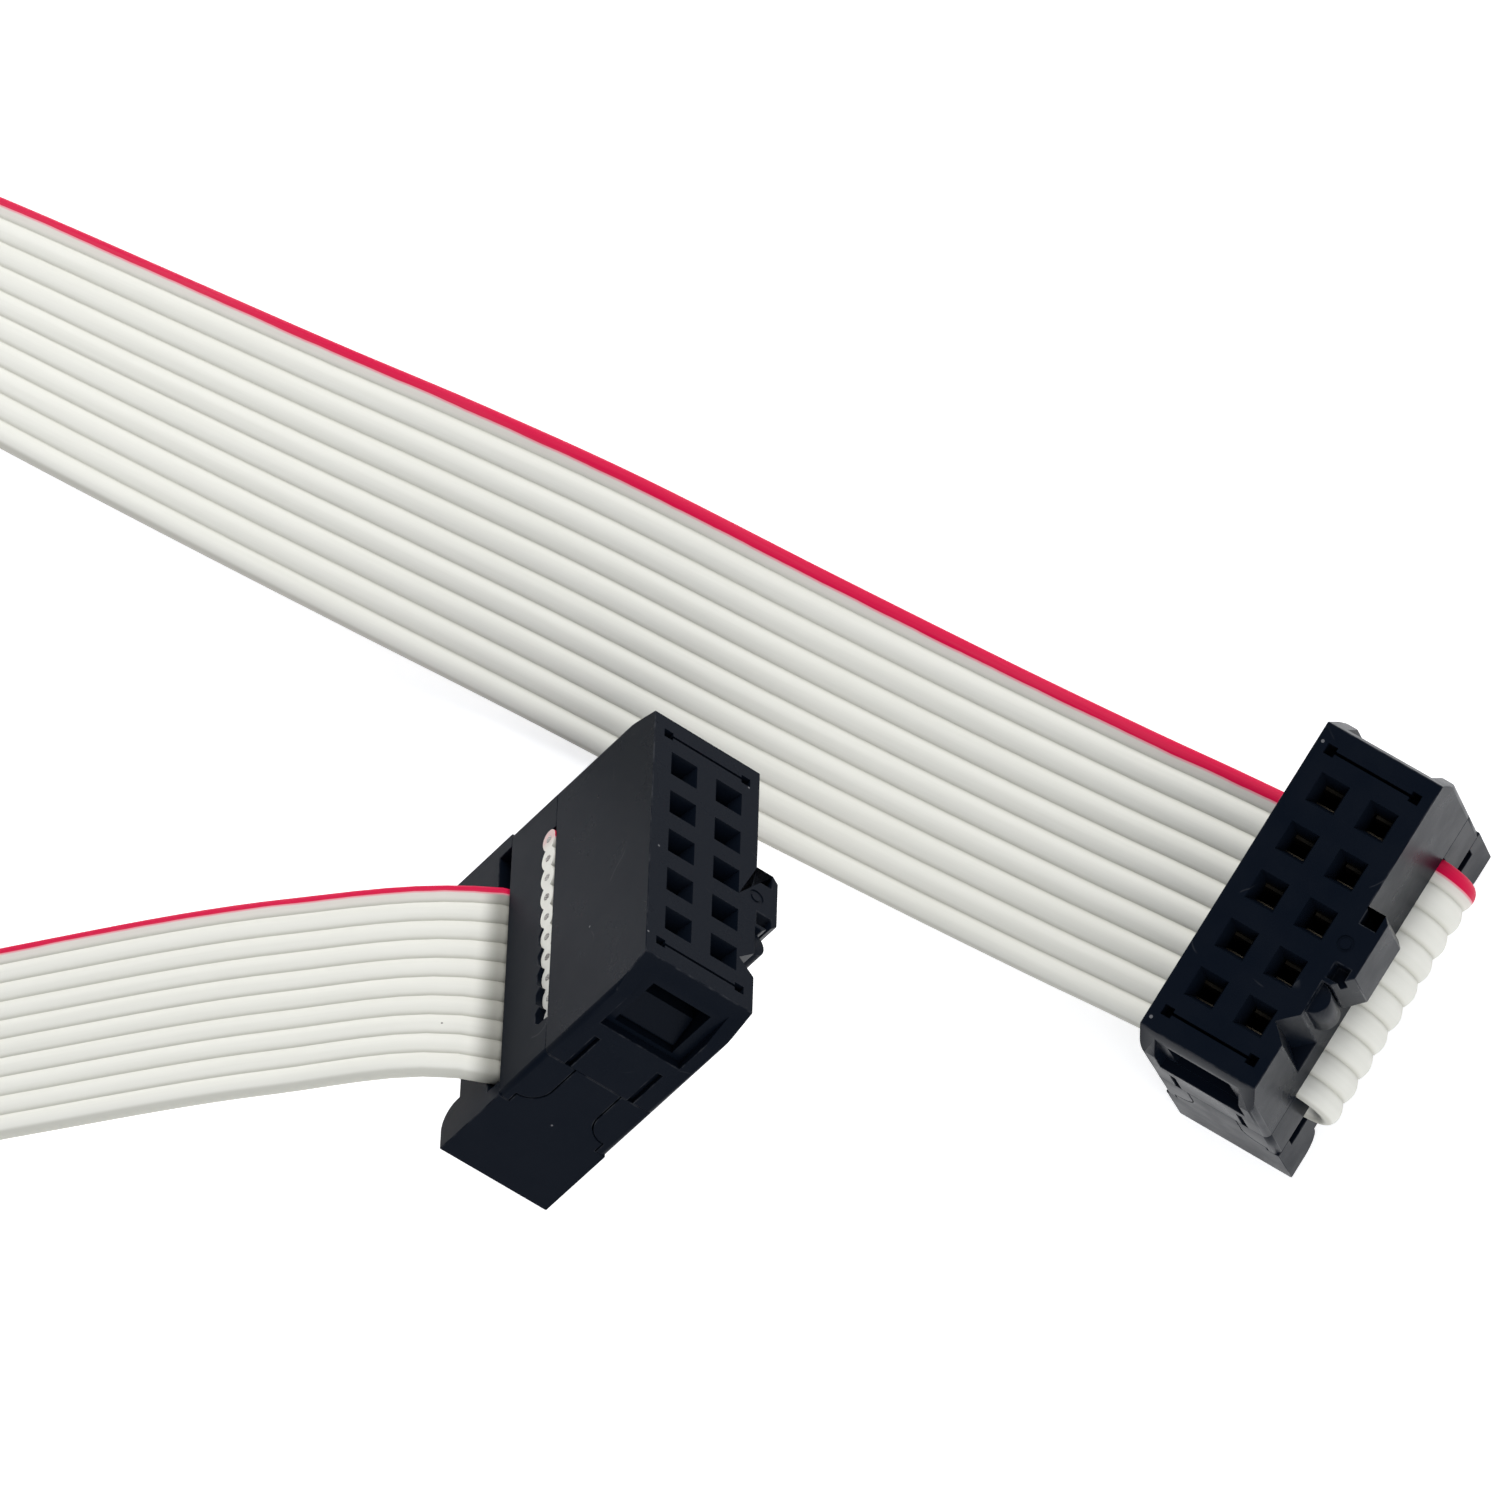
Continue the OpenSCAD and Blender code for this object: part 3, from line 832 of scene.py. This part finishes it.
@dataclass(frozen=True)
class PlatedMetal:
    """Bare or plated metal with a drawn surface."""

    name: str
    colour: Colour
    shade: Colour
    roughness: float
    grain: Grain = Grain(14000.0, 0.1, 0.1, 0.00001, 0.1, 0.0)

    def build(self, groups: SurfaceGroups) -> Material:
        """Makes the material.

        Args:
            groups: Shared shader groups.

        Returns:
            The material.
        """
        material, board = new_material(self.name)
        place = board.add("ShaderNodeTexCoord").outputs["Object"]
        grain = self.grain.add(board, groups, place)
        board.coat({
            "Base Color": board.mix(board.by_tone(grain), self.shade, self.colour),
            "Roughness": self.grain.rough(board, grain, self.roughness),
            "Normal": self.grain.normal(board, grain),
            "Metallic": 1.0,
        })
        return material


def finished(name: str, bm: BMesh, material: Material, sharp: float = 35.0) -> Object:
    """Turns a bmesh in millimetres into an object in metres that rides on the part.

    Args:
        name: Name of the piece.
        bm: The bmesh, freed here.
        material: Its finish.
        sharp: Angle in degrees from which an edge stays sharp.

    Returns:
        The object.
    """
    bmesh.ops.scale(bm, vec=Vector((MM, MM, MM)), verts=bm.verts)
    limit = math.radians(sharp)
    for face in bm.faces:
        face.smooth = True
    for edge in bm.edges:
        edge.smooth = edge.calc_face_angle(0.0) < limit
    mesh = bpy.data.meshes.new(name)
    bm.to_mesh(mesh)
    bm.free()
    mesh.materials.append(material)
    piece = bpy.data.objects.new(name, mesh)
    bpy.context.scene.collection.objects.link(piece)
    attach(piece, "root")
    return piece


@dataclass
class FlatCable:
    """The ribbon: one skin over ten wires, and ten bundles of strands in it."""

    vinyl: Material
    tin: Material
    route: CableRoute = field(default_factory=CableRoute)
    wires: int = 10
    pitch: float = 1.27
    thickness: float = 0.9
    web: float = 0.46
    edge: float = 0.56
    lobe_power: float = 0.8
    lobe_steps: int = 12
    bore_radius: float = 0.19
    bore_sides: int = 8
    strand_radius: float = 0.063
    strand_recess: float = 0.02
    outer_strands: int = 6
    strand_corners: int = 3
    strand_dent: float = 0.02
    ball_sides: int = 8
    ball_rings: int = 5
    slant_depth: float = 0.52
    slant_from: int = 2
    slant_power: float = 1.5
    skin_sharp: float = 60.0
    usual_length: float = 0.30
    pieces: list[Object] = field(default_factory=list)

    @property
    def width(self) -> float:
        """Width of the ribbon."""
        return (self.wires - 1) * self.pitch + 2 * self.edge

    def wire_place(self, wire: int) -> float:
        """Distance of a wire from the ribbon's middle, towards the stripe."""
        return ((self.wires - 1) / 2 - wire) * self.pitch

    def slant(self, across: float) -> float:
        """Depth of the left end's oblique cut.

        Args:
            across: Distance from the ribbon's middle, towards the stripe.

        Returns:
            How far the cut lies inside the socket there.
        """
        wire = (self.wires - 1) / 2 - across / self.pitch
        share = max(0.0, wire - self.slant_from) / (self.wires - 1 - self.slant_from)
        return self.slant_depth * share ** self.slant_power

    def lobe_point(self, share: float, outer: bool) -> Pair:
        """Point on the upper half of a wire's rounded lobe.

        Args:
            share: From 0 at the crest to 1 at its foot.
            outer: Whether it is the ribbon's outer side, which rounds down to the middle.

        Returns:
            Distance from the wire and height over the ribbon's middle.
        """
        a = share * math.pi / 2
        if outer:
            return self.edge * math.sin(a), self.thickness / 2 * math.cos(a)
        rise = (self.thickness - self.web) / 2
        up = max(math.cos(a), 0.0) ** self.lobe_power
        return share * self.pitch / 2, self.web / 2 + rise * up

    def upper_outline(self) -> list[Pair]:
        """Upper outline of the ribbon.

        Returns:
            Corners from the striped edge to the other one, without the edge points.
        """
        points = []
        half = self.lobe_steps // 2
        for wire in range(self.wires):
            middle = self.wire_place(wire)
            for side, steps in ((1, range(half, -1, -1)), (-1, range(1, half + 1))):
                outer = (wire == 0 and side == 1) or (wire == self.wires - 1 and side == -1)
                for n in steps:
                    if n == half and (outer or side == 1):
                        continue
                    across, height = self.lobe_point(n / half, outer)
                    points.append((middle + side * across, height))
        return points

    def outline(self) -> list[Pair]:
        """Closed outline of the ribbon.

        Returns:
            Its corners.
        """
        upper = self.upper_outline()
        half = self.width / 2
        under = [(x, -z) for x, z in reversed(upper)]
        return [(half, 0.0)] + upper + [(-half, 0.0)] + under

    @staticmethod
    def ring(bm: BMesh, points: list[Pair]) -> list[BMEdge]:
        """Adds a closed ring of edges in the plane across the ribbon.

        Args:
            bm: The bmesh.
            points: Distance across and height of each corner.

        Returns:
            The ring's edges.
        """
        made = bmesh.ops.create_circle(bm, segments=len(points), radius=1.0)
        lay = bm.verts.layers.float_vector["lay"]
        for vert, (across, height) in zip(made["verts"], points):
            vert[lay] = Vector((across, 0.0, height))
        return list({e for v in made["verts"] for e in v.link_edges})

    @staticmethod
    def place_ring(bm: BMesh, edges: list[BMEdge], station: Station) -> None:
        """Moves the corners of a ring to a station.

        Args:
            bm: The bmesh.
            edges: Edges of the ring.
            station: Where they go.
        """
        lay = bm.verts.layers.float_vector["lay"]
        matrix = station.matrix()
        for vert in {v for e in edges for v in e.verts}:
            across, _, height = vert[lay]
            vert[lay] = Vector((across, station.along, height))
            vert.co = matrix @ Vector((across, 0.0, height))

    def swept(self, rings: list[list[Pair]], stations: list[Station]) -> BMesh:
        """Sweeps rings along stations and closes both ends, the last one on a slant.

        Args:
            rings: Outline, and the holes in it.
            stations: Where the rings pass.

        Returns:
            A closed bmesh with its places in the layer "lay" and its cut faces in "cut".
        """
        bm = bmesh.new()
        bm.verts.layers.float_vector.new("lay")
        edges = [e for points in rings for e in self.ring(bm, points)]
        first = list(edges)
        self.place_ring(bm, edges, stations[0])
        for station in stations[1:]:
            made = bmesh.ops.extrude_edge_only(bm, edges=edges)
            edges = [g for g in made["geom"] if isinstance(g, BMEdge)]
            edges = [e for e in edges if len(e.link_faces) == 1]
            self.place_ring(bm, edges, station)
        lay = bm.verts.layers.float_vector["lay"]
        back = -stations[-1].heading.normalized()
        for vert in {v for e in edges for v in e.verts}:
            vert.co += back * self.slant(vert[lay].x)
        cut = bm.faces.layers.float.new("cut")
        for rim in (first, edges):
            made = bmesh.ops.triangle_fill(bm, edges=rim, use_beauty=True)
            for part in made["geom"]:
                if isinstance(part, BMFace):
                    part[cut] = 1.0
        bmesh.ops.recalc_face_normals(bm, faces=bm.faces)
        return bm

    @staticmethod
    def around(count: int) -> list[Pair]:
        """Evenly spaced directions round a circle.

        Args:
            count: How many.

        Returns:
            Cosine and sine of each.
        """
        turns = [2 * math.pi * n / count for n in range(count)]
        return [(math.cos(a), math.sin(a)) for a in turns]

    def bore(self, wire: int) -> list[Pair]:
        """Bore for a wire.

        Args:
            wire: Number of the wire from 0.

        Returns:
            Its corners.
        """
        middle, radius = self.wire_place(wire), self.bore_radius
        return [(middle + radius * c, radius * s) for c, s in self.around(self.bore_sides)]

    def strand_outline(self, wire: int) -> list[Pair]:
        """Outline round the outer strands of a wire.

        Args:
            wire: Number of the wire from 0.

        Returns:
            Its corners.
        """
        middle = self.wire_place(wire)
        points = []
        turns = self.around(self.outer_strands * self.strand_corners)
        for n, (c, s) in enumerate(turns):
            dent = self.strand_dent if n % self.strand_corners else 0.0
            radius = self.bore_radius - dent
            points.append((middle + radius * c, radius * s))
        return points

    def strand_ends(self, bm: BMesh, wire: int, station: Station) -> None:
        """Adds the rounded strand ends of a wire at one cut end.

        Args:
            bm: Bmesh of the wire's strands.
            wire: Number of the wire from 0.
            station: The cut end, moved in by the recess.
        """
        matrix = station.matrix()
        ring = self.bore_radius - self.strand_radius
        places = [(0.0, 0.0)]
        places += [(ring * c, ring * s) for c, s in self.around(self.outer_strands)]
        for x, z in places:
            centre = matrix @ Vector((self.wire_place(wire) + x, 0.0, z))
            bmesh.ops.create_uvsphere(
                bm, u_segments=self.ball_sides, v_segments=self.ball_rings,
                radius=self.strand_radius, matrix=Matrix.Translation(centre),
            )

    def build_skin(self, stations: list[Station]) -> None:
        """Builds the insulation.

        Args:
            stations: Stations of the whole cable.
        """
        rings = [self.outline()] + [self.bore(wire) for wire in range(self.wires)]
        bm = self.swept(rings, stations)
        skin = finished("cable_skin", bm, self.vinyl, self.skin_sharp)
        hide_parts("cable_jacket")
        self.pieces.append(skin)
        LOG.info("cable skin: %d faces", len(skin.data.polygons))

    def build_strands(self, stations: list[Station]) -> None:
        """Builds the ten bundles of strands.

        Args:
            stations: Stations of the whole cable.
        """
        ends = []
        for station, way in ((stations[0], 1), (stations[-1], -1)):
            moved = station.place + way * self.strand_recess * station.heading
            ends.append(Station(moved, station.heading, station.across, station.along))
        inner = [ends[0]] + stations[1:-1] + [ends[1]]
        for wire in range(self.wires):
            bm = self.swept([self.strand_outline(wire)], inner)
            back = -self.slant(self.wire_place(wire)) * ends[1].heading
            slanted = Station(ends[1].place + back, ends[1].heading, ends[1].across)
            for end in (ends[0], slanted):
                self.strand_ends(bm, wire, end)
            strands = finished(f"wire_strands_{wire + 1}", bm, self.tin)
            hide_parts(f"wire_core_{wire + 1}")
            self.pieces.append(strands)
        LOG.info("strands of %d wires", self.wires)

    def build(self) -> None:
        stations = self.route.stations()
        self.build_skin(stations)
        self.build_strands(stations)
        skin, strands = self.pieces[0], self.pieces[1:]
        leaves = self.route.right_part()[-1].place * MM
        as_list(strands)
        LOG.info("cable length %.1f mm", stations[-1].along)


@dataclass
class Socket:
    """One socket: its three moulded pieces, with the contacts' own nodes."""

    end: End
    plastics: dict[Moulding, Material]
    plating: Material
    sizes: SocketSizes = SocketSizes()
    merge_reach: float = 0.0005
    flat_angle: float = 0.5
    soft_edge: float = 0.05
    soft_steps: int = 2
    skin_depth: float = 0.01
    corner: float = 0.31
    sharp: float = 35.0
    contacts: int = 10
    mould_ring: Triple = (3.0, -0.3, 14.8)
    mould_ring_reach: float = 0.45
    ramp_size: float = 0.4
    ramp_steps: int = 3
    cable_thickness: float = FlatCable.thickness

    def standing(self) -> Matrix:
        """Matrix from the standing socket's frame to this socket's place."""
        return LeftPose().matrix() if self.end is End.LEFT else Matrix.Identity(4)

    def merged_copy(self, node: str) -> BMesh:
        """Copy of a construction node in the standing socket's frame, in millimetres.

        Args:
            node: Name of the node.

        Returns:
            The copy as a bmesh, with its triangles joined to flat faces.
        """
        bm = bmesh.new()
        bm.from_mesh(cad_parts[node].data)
        bmesh.ops.scale(bm, vec=Vector((1 / MM,) * 3), verts=bm.verts)
        bmesh.ops.transform(bm, matrix=self.standing().inverted(), verts=bm.verts)
        bmesh.ops.remove_doubles(bm, verts=bm.verts, dist=self.merge_reach)
        flat = math.radians(self.flat_angle)
        bmesh.ops.dissolve_limit(bm, angle_limit=flat, verts=bm.verts, edges=bm.edges)
        return bm

    def on_skin(self, place: Vector) -> bool:
        """Whether a point lies on the socket's outer sides or stands out of them.

        Args:
            place: The point in the standing socket's frame.

        Returns:
            True where the edges are rounded.
        """
        from_x = abs(place.x) - self.sizes.width / 2
        from_y = abs(place.y) - self.sizes.length / 2
        flat = max(from_x, from_y) > -self.skin_depth
        at_corner = min(from_x, from_y) > -self.corner
        away = place - Vector(self.mould_ring)
        in_ring = all(abs(a) < self.mould_ring_reach for a in away)
        return (flat or at_corner) and not in_ring

    @staticmethod
    def rounded(bm: BMesh, edges: list[BMEdge], size: float, steps: int) -> list[BMFace]:
        """Rounds edges in steps, by a size on each side, and gives the new faces."""
        return bmesh.ops.bevel(
            bm, geom=edges, offset=size, offset_type="OFFSET", affect="EDGES",
            segments=steps, profile=0.5, clamp_overlap=False, material=-1,
        )["faces"]

    def soften(self, bm: BMesh) -> None:
        """Rounds the sharp outer edges and marks the new faces as the rim.

        Args:
            bm: The bmesh, changed in place.
        """
        rim = bm.faces.layers.float.new("rim")
        limit = math.radians(self.sharp)
        edges = [
            e for e in bm.edges
            if e.is_manifold and e.calc_face_angle(0.0) > limit
            and all(self.on_skin(v.co) for v in e.verts)
        ]
        for face in self.rounded(bm, edges, self.soft_edge, self.soft_steps):
            face[rim] = 1.0

    def ramp_mouth(self, bm: BMesh) -> None:
        """Slopes the edge of the strain relief that the cable bends round.

        Args:
            bm: Bmesh of the strain relief, changed in place.
        """
        side = -self.sizes.width / 2
        floor = self.sizes.lower_pass - self.cable_thickness / 2
        edges = [
            e for e in bm.edges
            if all(max(abs(v.co.x - side), abs(v.co.z - floor)) < self.skin_depth
                   for v in e.verts)
        ]
        self.rounded(bm, edges, self.ramp_size, self.ramp_steps)

    def build_moulding(self, moulding: Moulding) -> Object:
        """Builds one moulded piece from a copy of its node.

        Args:
            moulding: Which piece.

        Returns:
            The piece.
        """
        node = f"{self.end.value}_{moulding.value}"
        bm = self.merged_copy(node)
        if moulding is Moulding.RELIEF:
            self.ramp_mouth(bm)
        self.soften(bm)
        bmesh.ops.transform(bm, matrix=self.standing(), verts=bm.verts)
        piece = finished(f"{node}_shell", bm, self.plastics[moulding])
        level = piece.modifiers.new("even_shading", "WEIGHTED_NORMAL")
        level.keep_sharp = True
        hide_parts(node)
        LOG.info("%s: %d faces", piece.name, len(piece.data.polygons))
        return piece

    def dress_contacts(self) -> None:
        """Gives the contacts' nodes their plating."""
        for n in range(self.contacts):
            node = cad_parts[f"{self.end.value}_contact_{n + 1}"]
            node.data.materials.clear()
            node.data.materials.append(self.plating)
        LOG.info("%s contacts plated", self.end.value)

    def build(self) -> None:
        """Builds the moulded pieces and dresses the contacts."""
        for moulding in Moulding:
            self.build_moulding(moulding)
        self.dress_contacts()


@dataclass(frozen=True)
class Lamp:
    """A square soft light."""

    name: str
    place: Triple
    size: float
    power: float
    colour: Triple = (1.0, 1.0, 1.0)
    aim: Triple = (-0.02, -0.02, 0.0)

    def build(self) -> None:
        """Adds the light to the scene."""
        data = bpy.data.lights.new(self.name, "AREA")
        data.shape = "SQUARE"
        data.size = self.size
        data.energy = self.power
        data.color = self.colour
        lamp = bpy.data.objects.new(self.name, data)
        lamp.location = self.place
        way = Vector(self.aim) - Vector(self.place)
        lamp.rotation_euler = way.to_track_quat("-Z", "Y").to_euler()
        bpy.context.scene.collection.objects.link(lamp)


@dataclass(frozen=True)
class Studio:
    """Camera, lights, floor and surroundings."""

    camera_place: Triple = (126.71, -73.58, 521.66)
    camera_right: Triple = (0.8295, 0.5296, -0.1774)
    camera_down: Triple = (0.4809, -0.8388, -0.2554)
    lens: float = 288.0
    sensor: float = 36.0
    floor_size: float = 4.0
    floor_colour: Colour = (0.86, 0.86, 0.86, 1)
    floor_glow: float = 0.62
    horizon: Colour = (0.93, 0.94, 0.95, 1)
    zenith: Colour = (0.11, 0.13, 0.17, 1)
    dimming: Pair = (0.05, 0.7)
    lamps: tuple[Lamp, ...] = (
        Lamp("key_light", (-0.30, 0.70, 0.60), 0.9, 7.8, (1.0, 0.995, 0.98)),
        Lamp("fill_light", (0.60, -0.40, 0.60), 0.9, 5.0),
        Lamp("side_light", (-0.75, -0.05, 0.55), 0.7, 0.8, (1.0, 0.985, 0.99)),
    )

    def build_camera(self) -> None:
        """Sets the camera at the photograph's angle."""
        data = bpy.data.cameras.new("view")
        data.lens = self.lens
        data.sensor_width = self.sensor
        data.sensor_fit = "HORIZONTAL"
        data.clip_start = 0.01
        camera = bpy.data.objects.new("view", data)
        right = Vector(self.camera_right).normalized()
        up = -Vector(self.camera_down)
        up = (up - up.dot(right) * right).normalized()
        turn = Matrix((right, up, right.cross(up))).transposed().to_4x4()
        camera.matrix_world = Matrix.Translation(Vector(self.camera_place) * MM) @ turn
        bpy.context.scene.collection.objects.link(camera)
        bpy.context.scene.camera = camera

    def build_world(self) -> None:
        """Surroundings that are pale at the horizon and dim overhead."""
        world = bpy.data.worlds.new("studio")
        world.use_nodes = True
        bpy.context.scene.world = world
        board = NodeBoard(world.node_tree)
        way = board.add("ShaderNodeTexCoord").outputs["Generated"]
        rise = board.add("ShaderNodeSeparateXYZ", {0: way}).outputs[2]
        colour = board.mix(board.ramp(rise, self.dimming), self.horizon, self.zenith)
        sky = board.add("ShaderNodeBackground", {"Color": colour, "Strength": 1.0})
        board.add("ShaderNodeOutputWorld", {"Surface": sky.outputs[0]})

    def build_floor(self) -> None:
        """Pale floor that shows white to the camera and keeps the cable's shadow."""
        material, board = new_material("pale_floor")
        matt = board.add("ShaderNodeBsdfDiffuse", {"Color": self.floor_colour})
        path = board.add("ShaderNodeLightPath").outputs
        mirrored = board.math("ADD", path["Is Glossy Ray"], path["Is Transmission Ray"])
        seen = board.math("ADD", path["Is Camera Ray"], mirrored, clamp=True)
        glow = board.add(
            "ShaderNodeEmission",
            {"Color": (1, 1, 1, 1), "Strength": board.times(seen, self.floor_glow)},
        )
        both = board.add("ShaderNodeAddShader", {0: matt.outputs[0], 1: glow.outputs[0]})
        board.add("ShaderNodeOutputMaterial", {"Surface": both.outputs[0]})
        bm = bmesh.new()
        bmesh.ops.create_grid(bm, x_segments=1, y_segments=1, size=self.floor_size / 2)
        mesh = bpy.data.meshes.new("floor")
        bm.to_mesh(mesh)
        bm.free()
        mesh.materials.append(material)
        floor = bpy.data.objects.new("floor", mesh)
        bpy.context.scene.collection.objects.link(floor)

    def build(self) -> None:
        """Builds everything round the object."""
        self.build_camera()
        self.build_world()
        self.build_floor()
        for lamp in self.lamps:
            lamp.build()
        bpy.context.scene.view_settings.view_transform = "Standard"
        LOG.info("studio ready")


def main() -> None:
    """Builds the studio, the cable and both sockets."""
    logging.basicConfig(level=logging.INFO, format="%(message)s")
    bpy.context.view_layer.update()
    Studio().build()
    groups = SurfaceGroups()
    vinyl = CableVinyl(left_mouth=CableRoute().left_mouth()).build(groups)
    tin = PlatedMetal(
        "tinned_copper", (0.62, 0.60, 0.57, 1), (0.38, 0.36, 0.34, 1), 0.35
    ).build(groups)
    # Painted shade: the contacts' plating is far darker than bright metal, for the shade deep in
    # their chambers.
    plating = PlatedMetal(
        "plated_contact_painted_shade", (0.11, 0.092, 0.065, 1), (0.06, 0.05, 0.036, 1), 0.5
    ).build(groups)
    plastics = {
        Moulding.HOUSING: MouldedPlastic("housing_plastic").build(groups),
        Moulding.COVER: MouldedPlastic("cover_plastic", roughness=0.31).build(groups),
        Moulding.RELIEF: MouldedPlastic("relief_plastic", roughness=0.33).build(groups),
    }
    FlatCable(vinyl, tin).build()
    for end in End:
        Socket(end, plastics, plating).build()
    LOG.info("boxes written")


if __name__ == "__main__":
    main()
